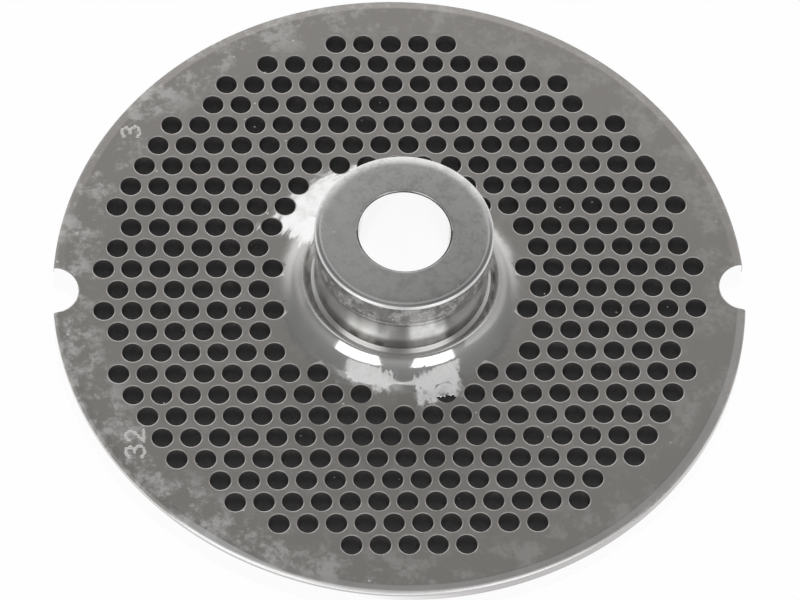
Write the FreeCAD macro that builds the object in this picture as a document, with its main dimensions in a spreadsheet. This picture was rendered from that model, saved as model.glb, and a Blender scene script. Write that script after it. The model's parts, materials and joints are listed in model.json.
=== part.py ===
import FreeCAD, Part
import os
from collections import namedtuple
from enum import IntEnum

import Sketcher
from FreeCAD import Vector

# A size 32 meat grinder plate: a ground stainless disc with a turned hub, a bore for the feed screw's
# pin, a close field of round holes and two notches that stop it from turning in the grinder's head.
# It lies on its flat cutting face. The origin is the centre of that face, +Z runs up the bore, and the
# two notches are on the X axis. Lengths are in millimetres.

SIZES = {
    # the disc
    "plate_diameter": 98.5,
    "plate_thickness": 6.0,
    "rim_bevel_width": 0.9,  # shallow bevel round the disc's upper face
    "rim_bevel_drop": 0.1,  # how far that bevel falls
    "rim_round": 1.0,  # radius of the round between the bevel and the side wall
    "rim_chamfer": 0.5,  # break of the rim's lower edge
    # the hub, whose heights are counted from the disc's upper face
    "hub_diameter": 25.2,
    "hub_height": 15.45,
    "hub_bevel_width": 0.8,  # shallow bevel round the hub's end
    "hub_bevel_drop": 0.16,  # how far that bevel falls
    "hub_round": 0.3,  # radius of the round between the bevel and the collar
    "collar_height": 4.7,  # full-diameter band at the top of the hub
    "neck_relief": 0.3,  # how far the neck is turned in below the collar
    "root_radius": 5.5,  # hollow fillet between the hub and the disc
    "root_height": 3.4,  # where the turned neck cuts that fillet off
    "shoulder_width": 0.48,  # how far the fillet's top edge stands out from the neck
    "bore_diameter": 13.0,
    "bore_chamfer": 0.25,
    # the field of holes
    "hole_diameter": 3.0,
    "hole_web": 1.0,  # metal left between two neighbouring holes
    "rim_band": 4.95,  # least metal between a hole and the rim
    # the notches
    "notch_radius": 3.7,
}

FULL_TURN = 360
SECTORS = 6  # the triangular lattice looks the same after a sixth of a turn
NOTCHES = 2
ROW_SPACING = "(sqrt(3) / 2)"  # from one row of the lattice to the next, in pitches

RIM_RADIUS = "Sizes.plate_diameter / 2"
HUB_RADIUS = "Sizes.hub_diameter / 2"
NECK_RADIUS = f"({HUB_RADIUS} - Sizes.neck_relief)"
BORE_RADIUS = "Sizes.bore_diameter / 2"
BORE_MOUTH = f"({BORE_RADIUS} + Sizes.bore_chamfer)"
HOLE_RADIUS = "Sizes.hole_diameter / 2"
PITCH = "(Sizes.hole_diameter + Sizes.hole_web)"

UNDERSIDE = "0"
FACE = "Sizes.plate_thickness"
HUB_TOP = f"({FACE} + Sizes.hub_height)"
COLLAR_FOOT = f"({HUB_TOP} - Sizes.collar_height)"

# The root fillet runs out level with the disc, and stops short below the neck.
ROOT_EDGE_HEIGHT = f"({FACE} + Sizes.root_height)"
ROOT_EDGE_RADIUS = f"({NECK_RADIUS} + Sizes.shoulder_width)"
ROOT_REACH = "sqrt(Sizes.root_radius ^ 2 - (Sizes.root_radius - Sizes.root_height) ^ 2)"
ROOT_END_RADIUS = f"({ROOT_EDGE_RADIUS} + {ROOT_REACH})"


class Point(IntEnum):
    """How a sketch's constraints number the points of an edge."""

    START = 1
    END = 2
    CENTRE = 3


# A sketch's own X axis. Its start is the origin.
X_AXIS = -1

# A corner of an outline, with the radius of the arc that leads on to the next one, if any.
Corner = namedtuple("Corner", "across up arc hollow", defaults=(None, False))


def make_sheet(doc):
    sheet = doc.addObject("Spreadsheet::Sheet", "Sizes")
    for row, (name, size) in enumerate(SIZES.items(), start=1):
        sheet.set(f"A{row}", name)
        sheet.set(f"B{row}", str(size))
        sheet.setAlias(f"B{row}", name)
    doc.recompute()
    return sheet


def measure(sheet, expression):
    return float(sheet.evalExpression(expression))


def add_sketch(body, name, plane_role):
    plane = next(f for f in body.Origin.OriginFeatures if f.Role == plane_role)
    sketch = body.newObject("Sketcher::SketchObject", name)
    sketch.AttachmentSupport = [(plane, "")]
    sketch.MapMode = "FlatFace"
    return sketch


def bind_radius(sketch, edge, expression, sheet):
    """Tie an arc's or a circle's radius to the sheet."""
    radius = Sketcher.Constraint("Radius", edge, measure(sheet, expression))
    sketch.setExpression(f"Constraints[{sketch.addConstraint(radius)}]", expression)


def bind_point(sketch, edge, point, across, up, sheet):
    """Tie a point of an edge to its two distances from the sketch's origin."""
    for direction, expression in (("DistanceX", across), ("DistanceY", up)):
        distance = measure(sheet, expression)
        constraint = Sketcher.Constraint(direction, X_AXIS, Point.START, edge, point, distance)
        sketch.setExpression(f"Constraints[{sketch.addConstraint(constraint)}]", expression)


def add_circle(sketch, across, up, radius, sheet):
    centre = Vector(measure(sheet, across), measure(sheet, up), 0)
    circle = sketch.addGeometry(Part.Circle(centre, Vector(0, 0, 1), measure(sheet, radius)))
    bind_point(sketch, circle, Point.CENTRE, across, up, sheet)
    bind_radius(sketch, circle, radius, sheet)


def arc_between(first, second, radius, hollow):
    """The shorter arc between two corners of an anticlockwise outline, bulging out unless hollow."""
    middle = (first + second) / 2
    chord = second - first
    inwards = Vector(-chord.y, chord.x, 0).normalize()
    towards_centre = inwards * (-1 if hollow else 1)
    centre = middle + towards_centre * (radius**2 - (chord.Length / 2) ** 2) ** 0.5
    return Part.Arc(first, centre - towards_centre * radius, second)


def add_outline(sketch, corners, sheet):
    """A closed outline whose corners and arcs are all tied to the sheet."""
    for corner, following in zip(corners, corners[1:] + corners[:1]):
        first, second = (
            Vector(measure(sheet, c.across), measure(sheet, c.up), 0) for c in (corner, following)
        )
        if corner.arc:
            drawn = arc_between(first, second, measure(sheet, corner.arc), corner.hollow)
        else:
            drawn = Part.LineSegment(first, second)
        edge = sketch.addGeometry(drawn)
        # A sketch keeps every arc anticlockwise, so a hollow one starts at its far end.
        near, far = (Point.END, Point.START) if corner.hollow else (Point.START, Point.END)
        bind_point(sketch, edge, near, corner.across, corner.up, sheet)
        bind_point(sketch, edge, far, following.across, following.up, sheet)
        if corner.arc:
            bind_radius(sketch, edge, corner.arc, sheet)


def bevelled_edge(name, radius, top):
    """The corners of an upper edge, whose round is tangent to its bevel and to the wall below."""
    width, drop, rounding = (f"Sizes.{name}_{size}" for size in ("bevel_width", "bevel_drop", "round"))
    length = f"sqrt({width} ^ 2 + {drop} ^ 2)"
    bevel_end = f"{radius} - {rounding} * (1 - {drop} / {length})"
    return [
        Corner(radius, f"{top} - {drop} - {rounding} * {width} / {length}", arc=rounding),
        Corner(bevel_end, f"{top} - {drop}"),
        Corner(f"{bevel_end} - {width}", top),
    ]


def turn_blank(body, sheet):
    """Disc, rim, hub and bore, turned from one blank."""
    corners = [
        Corner(BORE_MOUTH, UNDERSIDE),
        Corner(f"{RIM_RADIUS} - Sizes.rim_chamfer", UNDERSIDE),
        Corner(RIM_RADIUS, "Sizes.rim_chamfer"),
        *bevelled_edge("rim", RIM_RADIUS, FACE),
        Corner(ROOT_END_RADIUS, FACE, arc="Sizes.root_radius", hollow=True),
        Corner(ROOT_EDGE_RADIUS, ROOT_EDGE_HEIGHT),
        Corner(NECK_RADIUS, f"{ROOT_EDGE_HEIGHT} + Sizes.shoulder_width"),
        Corner(NECK_RADIUS, f"{COLLAR_FOOT} - Sizes.neck_relief"),
        Corner(HUB_RADIUS, COLLAR_FOOT),
        *bevelled_edge("hub", HUB_RADIUS, HUB_TOP),
        Corner(BORE_MOUTH, HUB_TOP),
        Corner(BORE_RADIUS, f"{HUB_TOP} - Sizes.bore_chamfer"),
        Corner(BORE_RADIUS, "Sizes.bore_chamfer"),
    ]
    sketch = add_sketch(body, "turned_section", "XZ_Plane")
    add_outline(sketch, corners, sheet)
    blank = body.newObject("PartDesign::Revolution", "turned_blank")
    blank.Profile = sketch
    blank.ReferenceAxis = (sketch, ["V_Axis"])
    blank.Angle = FULL_TURN
    return blank


def cut_round_the_bore(body, sketch, count, name):
    """Cut a sketch on the underside upwards through everything, then repeat it evenly round the bore."""
    pocket = body.newObject("PartDesign::Pocket", name)
    pocket.Profile = sketch
    pocket.Type = "ThroughAll"
    pocket.Reversed = True
    pattern = body.newObject("PartDesign::PolarPattern", f"{name}_all_round")
    pattern.Originals = [pocket]
    pattern.Axis = (sketch, ["N_Axis"])
    pattern.Angle = FULL_TURN
    pattern.Occurrences = count
    body.Tip = pattern
    return pattern


def holes_of_one_sector(sheet):
    """The lattice places of one sixth of the field, as steps along a row and steps aslant to it.

    The hole centres start where the root fillet runs out, and the field ends at the rim's plain band.
    """
    pitch = measure(sheet, PITCH)
    nearest = measure(sheet, ROOT_END_RADIUS)
    farthest = measure(sheet, f"{RIM_RADIUS} - Sizes.rim_band - {HOLE_RADIUS}")
    most = int(farthest / pitch)
    return [
        (along, aslant)
        for along in range(1, most + 1)
        for aslant in range(most + 1)
        if nearest <= pitch * (along**2 + along * aslant + aslant**2) ** 0.5 <= farthest
    ]


def drill_holes(body, sheet):
    """The field of holes, one sixth of it drawn on the lattice and repeated round the hub."""
    sketch = add_sketch(body, "hole_sector", "XY_Plane")
    for along, aslant in holes_of_one_sector(sheet):
        across = f"{PITCH} * {along + aslant / 2}"
        up = f"{PITCH} * {aslant} * {ROW_SPACING}"
        add_circle(sketch, across, up, HOLE_RADIUS, sheet)
    return cut_round_the_bore(body, sketch, SECTORS, "drilled_sector")


def mill_notches(body, sheet):
    """A half-round notch on each side, milled through with its centre on the rim."""
    sketch = add_sketch(body, "notch_outline", "XY_Plane")
    add_circle(sketch, RIM_RADIUS, UNDERSIDE, "Sizes.notch_radius", sheet)
    return cut_round_the_bore(body, sketch, NOTCHES, "milled_notch")


def check_document(doc):
    failed = [o.Name for o in doc.Objects if "Invalid" in o.State or "Error" in o.State]
    if failed:
        raise RuntimeError(f"these failed to build: {failed}")


def main():
    doc = FreeCAD.newDocument("meat_grinder_plate")
    sheet = make_sheet(doc)
    plate = doc.addObject("PartDesign::Body", "grinder_plate")
    plate.Label = "grinder_plate"
    volumes = []
    for make in (turn_blank, drill_holes, mill_notches):
        feature = make(plate, sheet)
        doc.recompute()
        check_document(doc)
        volumes.append(feature.Shape.Volume)
        print(f"{feature.Name}: {feature.Shape.Volume:.1f} cubic mm")
    if not volumes[0] > volumes[1] > volumes[2]:
        raise RuntimeError("a cut took nothing away")
    if plate.Shape.isNull() or not plate.Shape.isValid():
        raise RuntimeError("the plate is not a valid solid")
    print("holes:", SECTORS * len(holes_of_one_sector(sheet)), "solids:", len(plate.Shape.Solids))
    os.makedirs("parts", exist_ok=True)
    plate.Shape.exportStep(os.path.join("parts", f"{plate.Label}.step"))


main()
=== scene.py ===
# %% [markdown]
# # A meat grinder plate in stainless steel
#
# The plate is one piece of steel: a ground disc full of small round holes, with a polished hub in its
# middle. The whole look rests on three things. The holes have to be truly round and sit on an exact
# grid. The disc has to be satin and the hub glossy, with an uneven change between them. And the hub
# needs something to reflect, because polished steel shows mostly its surroundings.

# %% Load the frame
import json
import math
import random

import bpy
from mathutils import Matrix, Vector


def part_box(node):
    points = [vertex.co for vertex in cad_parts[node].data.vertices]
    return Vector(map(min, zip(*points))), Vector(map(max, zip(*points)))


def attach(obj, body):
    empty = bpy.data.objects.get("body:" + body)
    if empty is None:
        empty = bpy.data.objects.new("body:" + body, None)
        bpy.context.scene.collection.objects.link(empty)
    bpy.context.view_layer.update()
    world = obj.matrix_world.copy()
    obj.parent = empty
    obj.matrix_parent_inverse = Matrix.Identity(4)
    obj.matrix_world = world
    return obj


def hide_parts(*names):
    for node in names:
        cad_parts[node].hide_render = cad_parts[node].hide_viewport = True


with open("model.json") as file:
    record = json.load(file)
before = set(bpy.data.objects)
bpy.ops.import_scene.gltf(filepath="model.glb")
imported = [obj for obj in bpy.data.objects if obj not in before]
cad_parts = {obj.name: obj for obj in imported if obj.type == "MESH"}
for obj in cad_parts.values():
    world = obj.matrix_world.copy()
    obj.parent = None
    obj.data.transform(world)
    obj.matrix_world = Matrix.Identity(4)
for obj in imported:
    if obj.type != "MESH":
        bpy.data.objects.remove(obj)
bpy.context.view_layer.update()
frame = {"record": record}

# %% [markdown]
# ## Sizes
#
# What the frame already knows is read from it: the bore, the rim and the disc's upper face are its mounts,
# and the hub's end is the top of its box. The rest are the sizes of the turned section, the field of holes
# and the notches, in metres like everything else here, and tilts are in degrees. The rim's round is smaller
# than the frame's, and painted shade on the side wall, a thin dark line and a grey tone, draws the rest of
# it, because the thin light and dark lines then lie where the photograph has them.

# %% Sizes from the frame
MM = 0.001
mounts = {mount["name"]: mount for mount in frame["record"]["mounts"]}
BORE_RADIUS = mounts["hub_bore"]["dims"]["r_mm"] * MM
RIM_RADIUS = mounts["rim"]["dims"]["r_mm"] * MM
FACE = mounts["ring_seat"]["pos_m"][2]
HUB_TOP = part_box("grinder_plate")[1].z
print(f"bore {BORE_RADIUS / MM:.2f}, rim {RIM_RADIUS / MM:.2f}, face {FACE / MM:.2f} mm")

# %% Sizes of the turned section, the holes and the notches
RIM_BEVEL_WIDTH = 0.9 * MM
RIM_BEVEL_DROP = 0.1 * MM
RIM_ROUND = 0.55 * MM
RIM_CHAMFER = 0.5 * MM
HUB_RADIUS = 12.6 * MM
HUB_ROUND = 0.3 * MM
CROWN_RADIUS = 11.0 * MM
FACE_TILT = 1.2
CROWN_TILT = 16
COLLAR_HEIGHT = 4.7 * MM
NECK_RELIEF = 0.3 * MM
ROOT_RADIUS = 5.5 * MM
ROOT_HEIGHT = 3.4 * MM
SHOULDER_WIDTH = 0.48 * MM
BORE_CHAMFER = 0.25 * MM
HOLE_RADIUS = 1.5 * MM
HOLE_PITCH = 4.0 * MM
HOLE_EDGE = 0.14 * MM
EDGE_SLOPE = 0.45
RIM_BAND = 4.95 * MM
NOTCH_RADIUS = 3.7 * MM
NOTCH_EDGE = 0.15 * MM

NECK_RADIUS = HUB_RADIUS - NECK_RELIEF
COLLAR_FOOT = HUB_TOP - COLLAR_HEIGHT
ROOT_TOP = FACE + ROOT_HEIGHT
ROOT_EDGE_RADIUS = NECK_RADIUS + SHOULDER_WIDTH
ROOT_END_RADIUS = ROOT_EDGE_RADIUS + math.sqrt(ROOT_RADIUS**2 - (ROOT_RADIUS - ROOT_HEIGHT) ** 2)
print(f"the root fillet runs out at {ROOT_END_RADIUS / MM:.2f} mm")

# %% [markdown]
# ## The camera
#
# The view was solved from the grid of holes. Its points are known exactly, and a few hundred of them
# pin a camera down better than the eye can. It is a long lens far away, looking down at about
# fifty-nine degrees, with a slight roll. It is set first, so that every later render can be laid over
# the photograph.

# %% Camera
LENS = 287.8
ELEVATION = math.radians(58.63)
AZIMUTH = math.radians(-5.83)
ROLL = math.radians(4.71)
DISTANCE = 907.87 * MM
SLIDE = Vector((0.022, -1.658)) * MM


def direction(azimuth, elevation):
    """A unit vector, where azimuth 0 is the viewer's side and grows to the right."""
    level = math.cos(elevation)
    return Vector((math.sin(azimuth) * level, -math.cos(azimuth) * level, math.sin(elevation)))


def add_camera():
    """A camera whose own axes are worked out, with no target to track."""
    back = direction(AZIMUTH, ELEVATION)
    level_right = Vector((math.cos(AZIMUTH), math.sin(AZIMUTH), 0))
    level_up = back.cross(level_right)
    right = math.cos(ROLL) * level_right + math.sin(ROLL) * level_up
    up = math.cos(ROLL) * level_up - math.sin(ROLL) * level_right
    data = bpy.data.cameras.new("long_lens")
    data.lens = LENS
    camera = bpy.data.objects.new("long_lens", data)
    axes = Matrix((right, up, back)).transposed().to_4x4()
    spot = back * DISTANCE + right * SLIDE.x + up * SLIDE.y + Vector((0, 0, FACE))
    camera.matrix_world = Matrix.Translation(spot) @ axes
    bpy.context.scene.collection.objects.link(camera)
    return camera


bpy.context.scene.camera = add_camera()
print("the lens is", round(bpy.context.scene.camera.data.lens, 1), "mm")

# %% [markdown]
# ## The turned blank
#
# Disc, rim, hub and bore are turned in one go, so the blank is one outline spun round the bore. It
# could be a curve with a Screw modifier, but then every small round would need its own handles. Here
# the outline is a list of points: a line where the steel is straight, and an arc worked out from its
# centre where it is round. No real edge is perfectly sharp, so each sharp corner is broken by a tiny
# curve. A point is also added close to both ends of every long straight stretch. It pins the shading
# there, so that a flat stays flat in the reflections.

# %% The outline's helpers
ARC_STEPS = 16
EDGE_BREAK = 0.08 * MM
SHARP_TURN = math.radians(20)
PIN_DISTANCE = 0.12 * MM


def arc(across, up, radius, start, end):
    """Points of an arc about a centre, from one angle to another in degrees."""
    angles = [math.radians(start + (end - start) * step / ARC_STEPS) for step in range(ARC_STEPS + 1)]
    return [Vector((across + radius * math.cos(a), up + radius * math.sin(a))) for a in angles]


def slope(across, up, end, first_tilt, last_tilt):
    """An arc that falls away from a point to a farther radius, from one tilt in degrees to another."""
    first, last = math.radians(first_tilt), math.radians(last_tilt)
    radius = (end - across) / (math.sin(last) - math.sin(first))
    centre_across = across - radius * math.sin(first)
    return arc(centre_across, up - radius * math.cos(first), radius, 90 - last_tilt, 90 - first_tilt)


def break_sharp_corners(points):
    """Replace each sharp corner of a closed outline by a small curve of three points."""
    broken = []
    for before, corner, after in zip(points[-1:] + points[:-1], points, points[1:] + points[:1]):
        arriving = (corner - before).normalized()
        leaving = (after - corner).normalized()
        if arriving.angle(leaving) < SHARP_TURN:
            broken.append(corner)
            continue
        first = corner - arriving * EDGE_BREAK
        last = corner + leaving * EDGE_BREAK
        broken += [first, (first + last + 2 * corner) / 4, last]
    return broken


def pin_straight_stretches(points):
    """Add a point near both ends of every long straight stretch."""
    pinned = []
    for point, following in zip(points, points[1:] + points[:1]):
        pinned.append(point)
        stretch = following - point
        if stretch.length > 4 * PIN_DISTANCE:
            step = stretch.normalized() * PIN_DISTANCE
            pinned += [point + step, following - step]
    return pinned


# %% The outline, anticlockwise from the bore's lower mouth
root_angle = math.degrees(math.acos(1 - ROOT_HEIGHT / ROOT_RADIUS))
bevel_angle = math.degrees(math.atan2(RIM_BEVEL_DROP, RIM_BEVEL_WIDTH))
rim_round = arc(
    RIM_RADIUS - RIM_ROUND,
    FACE - RIM_BEVEL_DROP - RIM_ROUND * math.cos(math.radians(bevel_angle)),
    RIM_ROUND,
    0,
    90 - bevel_angle,
)
face_crown = slope(BORE_RADIUS + BORE_CHAMFER, HUB_TOP, CROWN_RADIUS, 0, FACE_TILT)
crown_end = HUB_RADIUS - HUB_ROUND * (1 - math.sin(math.radians(CROWN_TILT)))
edge_crown = slope(CROWN_RADIUS, face_crown[0].y, crown_end, FACE_TILT, CROWN_TILT)
hub_round = arc(
    HUB_RADIUS - HUB_ROUND,
    edge_crown[0].y - HUB_ROUND * math.cos(math.radians(CROWN_TILT)),
    HUB_ROUND,
    0,
    90 - CROWN_TILT,
)
outline = [
    Vector((BORE_RADIUS, BORE_CHAMFER)),
    Vector((BORE_RADIUS + BORE_CHAMFER, 0)),
    Vector((RIM_RADIUS - RIM_CHAMFER, 0)),
    Vector((RIM_RADIUS, RIM_CHAMFER)),
    *rim_round,
    Vector((rim_round[-1].x - RIM_BEVEL_WIDTH, FACE)),
    *arc(ROOT_END_RADIUS, FACE + ROOT_RADIUS, ROOT_RADIUS, 270, 270 - root_angle),
    Vector((NECK_RADIUS, ROOT_TOP + SHOULDER_WIDTH)),
    Vector((NECK_RADIUS, COLLAR_FOOT - NECK_RELIEF)),
    Vector((HUB_RADIUS, COLLAR_FOOT)),
    *hub_round[:-1],
    *edge_crown[:-1],
    *face_crown,
    Vector((BORE_RADIUS + BORE_CHAMFER / 2, HUB_TOP - BORE_CHAMFER / 2)),
    Vector((BORE_RADIUS, HUB_TOP - BORE_CHAMFER)),
]
outline = pin_straight_stretches(break_sharp_corners(outline))
print(len(outline), "points in the turned outline")

# %% Spin the outline
TURN_STEPS = 240
GROUND, BRIGHT, DRILLED, DEBURRED = range(4)
FINISH = "finish"
BORE_MARGIN = 0.02 * MM
RIM_MARGIN = 0.04 * MM


def spin(name, points, steps):
    """A closed ring of quads, turned from an outline."""
    count = len(points)
    verts = []
    faces = []
    for step in range(steps):
        angle = 2 * math.pi * (step + 0.5) / steps
        verts += [(p.x * math.cos(angle), p.x * math.sin(angle), p.y) for p in points]
        here = step * count
        there = (step + 1) % steps * count
        for index in range(count):
            after = (index + 1) % count
            faces.append((here + index, there + index, there + after, here + after))
    mesh = bpy.data.meshes.new(name)
    mesh.from_pydata(verts, [], faces)
    return mesh


def finish_of(centre):
    """The bore and the rim's side are bright, and painted shade darkens the bore's upper mouth, most in
    front.
    """
    radius = math.hypot(centre.x, centre.y)
    if radius < BORE_RADIUS + BORE_MARGIN or radius > RIM_RADIUS - RIM_MARGIN:
        return BRIGHT
    dark_width = BORE_CHAMFER / 2 if centre.y > 0 else BORE_CHAMFER
    if radius < BORE_RADIUS + dark_width and centre.z > HUB_TOP - BORE_CHAMFER:
        return DRILLED
    return GROUND


blank_mesh = spin("turned_blank", outline, TURN_STEPS)
codes = [finish_of(face.center) for face in blank_mesh.polygons]
blank_mesh.attributes.new(FINISH, "INT", "FACE").data.foreach_set("value", codes)
print(len(codes), "faces in the blank,", codes.count(BRIGHT), "of them on its side walls")

# %% [markdown]
# ## Five finishes of one steel
#
# The drilling tool below names the material of every wall and edge that it cuts, so the materials are
# made here, still empty, and get their nodes further down.

# %% Empty materials
FINISH_NAMES = {
    GROUND: "ground_and_polished_steel",
    BRIGHT: "bright_turned_wall",
    DRILLED: "drilled_wall",
    DEBURRED: "deburred_edge",
}
finishes = {code: bpy.data.materials.new(name) for code, name in FINISH_NAMES.items()}
peened = bpy.data.materials.new("peened_mark")
for material in (*finishes.values(), peened):
    material.use_nodes = True

# %% [markdown]
# ## Drilling with Geometry Nodes
#
# The plate has hundreds of equal holes on a triangular grid, each the same distance from its six
# neighbours. An Array modifier could copy a drill along rows, but it can't stop at a circle. In
# Geometry Nodes the rule is plain: make a grid, shift every second row by half a pitch, keep the
# points between two circles, put a drill on each, and take all drills away from the blank in one cut.
#
# A drill here is a cylinder with three bands. The outer two flare past the faces, so each hole gets
# the small slanting chamfer of a deburred edge on both sides. The drill is a node group of its own,
# because the two notches are cut in the same way, only wider.

# %% Helpers for node trees
FLOAT, INTEGER, GEOMETRY = "NodeSocketFloat", "NodeSocketInt", "NodeSocketGeometry"
VECTOR, MATERIAL = "NodeSocketVector", "NodeSocketMaterial"


def new_tree(name, kind, inputs, outputs):
    """A node group with named inputs and outputs."""
    tree = bpy.data.node_groups.new(name, kind)
    for label, socket_type, default in inputs:
        socket = tree.interface.new_socket(label, in_out="INPUT", socket_type=socket_type)
        if default is not None:
            socket.default_value = default
    for label, socket_type in outputs:
        tree.interface.new_socket(label, in_out="OUTPUT", socket_type=socket_type)
    return tree


def feed(tree, node, inputs):
    """Feed a node's inputs from sockets or plain values."""
    for key, source in inputs.items():
        if isinstance(source, bpy.types.NodeSocket):
            tree.links.new(source, node.inputs[key])
        else:
            node.inputs[key].default_value = source


def place(tree, kind, inputs=None, **settings):
    """Add a node, set its properties, and feed its inputs."""
    node = tree.nodes.new(kind)
    for name, value in settings.items():
        setattr(node, name, value)
    feed(tree, node, inputs or {})
    return node


def maths(tree, operation, *values):
    """One step of arithmetic in a node tree."""
    return place(tree, "ShaderNodeMath", dict(enumerate(values)), operation=operation).outputs[0]


def length(tree, vector):
    """The length of a vector."""
    return place(tree, "ShaderNodeVectorMath", {0: vector}, operation="LENGTH").outputs["Value"]


def split(tree, vector):
    """The three parts of a vector."""
    return place(tree, "ShaderNodeSeparateXYZ", {0: vector}).outputs


def join(tree, **parts):
    """A vector from its parts."""
    return place(tree, "ShaderNodeCombineXYZ", parts).outputs[0]


# %% The flared drill
HOLE_SIDES = 32

drill_tree = new_tree(
    "flared_drill",
    "GeometryNodeTree",
    [
        ("Radius", FLOAT, HOLE_RADIUS),
        ("Edge", FLOAT, HOLE_EDGE),
        ("Thickness", FLOAT, FACE),
        ("Sides", INTEGER, HOLE_SIDES),
        ("Wall Finish", INTEGER, DRILLED),
    ],
    [("Geometry", GEOMETRY)],
)
given = place(drill_tree, "NodeGroupInput").outputs
cylinder = place(
    drill_tree,
    "GeometryNodeMeshCylinder",
    {"Vertices": given["Sides"], "Side Segments": 3, "Radius": given["Radius"], "Depth": 1.0},
)
print("a hole's drill has", HOLE_SIDES, "sides")

# %% Stretch the drill through the disc and flare its ends
INNER_RING_HEIGHT = 0.3
FLARE_REACH = 0.3 * MM

spot = split(drill_tree, place(drill_tree, "GeometryNodeInputPosition").outputs[0])
side = maths(drill_tree, "SIGN", spot["Z"])
from_middle = maths(drill_tree, "ABSOLUTE", spot["Z"])
is_outer = maths(drill_tree, "GREATER_THAN", from_middle, INNER_RING_HEIGHT)
half = maths(drill_tree, "MULTIPLY", given["Thickness"], 0.5)
spread = maths(drill_tree, "MULTIPLY", is_outer, maths(drill_tree, "ADD", given["Edge"], FLARE_REACH))
climb = maths(drill_tree, "MULTIPLY", maths(drill_tree, "SUBTRACT", spread, given["Edge"]), EDGE_SLOPE)
height = maths(drill_tree, "MULTIPLY_ADD", side, maths(drill_tree, "ADD", half, climb), half)
flare = maths(drill_tree, "ADD", maths(drill_tree, "DIVIDE", spread, given["Radius"]), 1.0)
flared_spot = join(
    drill_tree,
    X=maths(drill_tree, "MULTIPLY", spot["X"], flare),
    Y=maths(drill_tree, "MULTIPLY", spot["Y"], flare),
    Z=height,
)
flared = place(drill_tree, "GeometryNodeSetPosition", {0: cylinder.outputs[0], "Position": flared_spot})
print(f"the flare reaches {FLARE_REACH / MM:.1f} mm past the edge of a hole")

# %% Mark the drill's faces with the finish that they leave
WALL_TILT = 0.3

tilt = split(drill_tree, place(drill_tree, "GeometryNodeInputNormal").outputs[0])["Z"]
is_flared = maths(drill_tree, "GREATER_THAN", maths(drill_tree, "ABSOLUTE", tilt), WALL_TILT)
code = place(
    drill_tree,
    "GeometryNodeSwitch",
    {"Switch": is_flared, "False": given["Wall Finish"], "True": DEBURRED},
    input_type="INT",
)
marked = place(
    drill_tree,
    "GeometryNodeStoreNamedAttribute",
    {"Geometry": flared.outputs[0], "Name": FINISH, "Value": code.outputs[0]},
    data_type="INT",
    domain="FACE",
)
place(drill_tree, "NodeGroupOutput", {0: marked.outputs[0]})
print("the drill's tree has", len(drill_tree.nodes), "nodes")

# %% The points of the triangular grid
GRID_POINTS = 25

lattice_tree = new_tree(
    "triangular_grid",
    "GeometryNodeTree",
    [("Pitch", FLOAT, HOLE_PITCH), ("Nearest", FLOAT, 0.0), ("Farthest", FLOAT, 1.0)],
    [("Points", GEOMETRY)],
)
given = place(lattice_tree, "NodeGroupInput").outputs
row_spacing = maths(lattice_tree, "MULTIPLY", given["Pitch"], math.sqrt(3) / 2)
grid = place(
    lattice_tree,
    "GeometryNodeMeshGrid",
    {
        "Size X": maths(lattice_tree, "MULTIPLY", given["Pitch"], GRID_POINTS - 1),
        "Size Y": maths(lattice_tree, "MULTIPLY", row_spacing, GRID_POINTS - 1),
        "Vertices X": GRID_POINTS,
        "Vertices Y": GRID_POINTS,
    },
)
position = place(lattice_tree, "GeometryNodeInputPosition").outputs[0]
rows_up = maths(lattice_tree, "DIVIDE", split(lattice_tree, position)["Y"], row_spacing)
row = maths(lattice_tree, "ROUND", rows_up)
is_odd = maths(lattice_tree, "ABSOLUTE", maths(lattice_tree, "MODULO", row, 2))
half_pitch = maths(lattice_tree, "MULTIPLY", given["Pitch"], 0.5)
shift = join(lattice_tree, X=maths(lattice_tree, "MULTIPLY", is_odd, half_pitch))
shifted = place(lattice_tree, "GeometryNodeSetPosition", {0: grid.outputs[0], "Offset": shift})
distance = length(lattice_tree, position)
is_outside = maths(
    lattice_tree,
    "MAXIMUM",
    maths(lattice_tree, "LESS_THAN", distance, given["Nearest"]),
    maths(lattice_tree, "GREATER_THAN", distance, given["Farthest"]),
)
kept = place(
    lattice_tree,
    "GeometryNodeDeleteGeometry",
    {"Geometry": shifted.outputs[0], "Selection": is_outside},
    domain="POINT",
)
place(lattice_tree, "NodeGroupOutput", {0: kept.outputs[0]})
print("the grid's tree has", len(lattice_tree.nodes), "nodes")

# %% The tool that drills and notches the blank
NOTCH_SIDES = 96

tool_tree = new_tree(
    "drill_and_notch",
    "GeometryNodeTree",
    [
        ("Geometry", GEOMETRY, None),
        ("Hole Radius", FLOAT, HOLE_RADIUS),
        ("Hole Pitch", FLOAT, HOLE_PITCH),
        ("Hole Edge", FLOAT, HOLE_EDGE),
        ("Nearest Hole", FLOAT, ROOT_END_RADIUS),
        ("Farthest Hole", FLOAT, RIM_RADIUS - RIM_BAND - HOLE_RADIUS),
        ("Thickness", FLOAT, FACE),
        ("Rim Radius", FLOAT, RIM_RADIUS),
        ("Notch Radius", FLOAT, NOTCH_RADIUS),
        ("Notch Edge", FLOAT, NOTCH_EDGE),
        *((name, MATERIAL, None) for name in FINISH_NAMES.values()),
    ],
    [("Geometry", GEOMETRY)],
)
given = place(tool_tree, "NodeGroupInput").outputs
lattice = place(tool_tree, "GeometryNodeGroup", node_tree=lattice_tree)
hole_drill = place(tool_tree, "GeometryNodeGroup", node_tree=drill_tree)
notch_drill = place(tool_tree, "GeometryNodeGroup", node_tree=drill_tree)
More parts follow.
